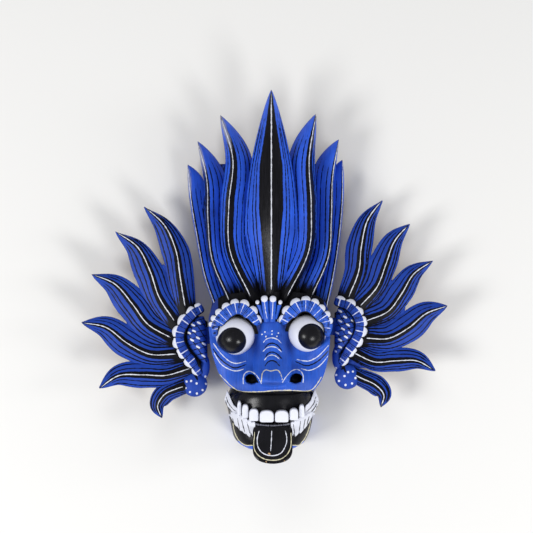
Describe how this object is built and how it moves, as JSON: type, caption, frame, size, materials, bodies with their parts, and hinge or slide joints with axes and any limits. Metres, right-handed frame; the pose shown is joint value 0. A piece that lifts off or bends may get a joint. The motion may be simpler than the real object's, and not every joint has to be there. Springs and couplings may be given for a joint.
{
  "type": "raksha mask",
  "caption": "Carved and painted wooden fire-demon mask with a crest of flames, bulging eyes, bared teeth, a hanging tongue and two flame-fringed ears.",
  "frame": {"origin": "middle of the underside of the mask as it lies on its back", "axes": "+X to the viewer's right, +Y up the mask to the tip of the crest, +Z the way the face looks"},
  "size_m": [0.2916, 0.2936, 0.072],
  "materials": {
    "face_paint": "hand-painted ultramarine with satin black, white and cream lines; bare pale wood behind",
    "ear_left_paint": "hand-painted ultramarine with satin black and white lines and dots",
    "ear_right_paint": "hand-painted ultramarine with satin black and white lines and dots"
  },
  "bodies": {
    "root": {"mask_face": "face_paint", "ear_left": "ear_left_paint", "ear_right": "ear_right_paint"}
  },
  "joints": []
}
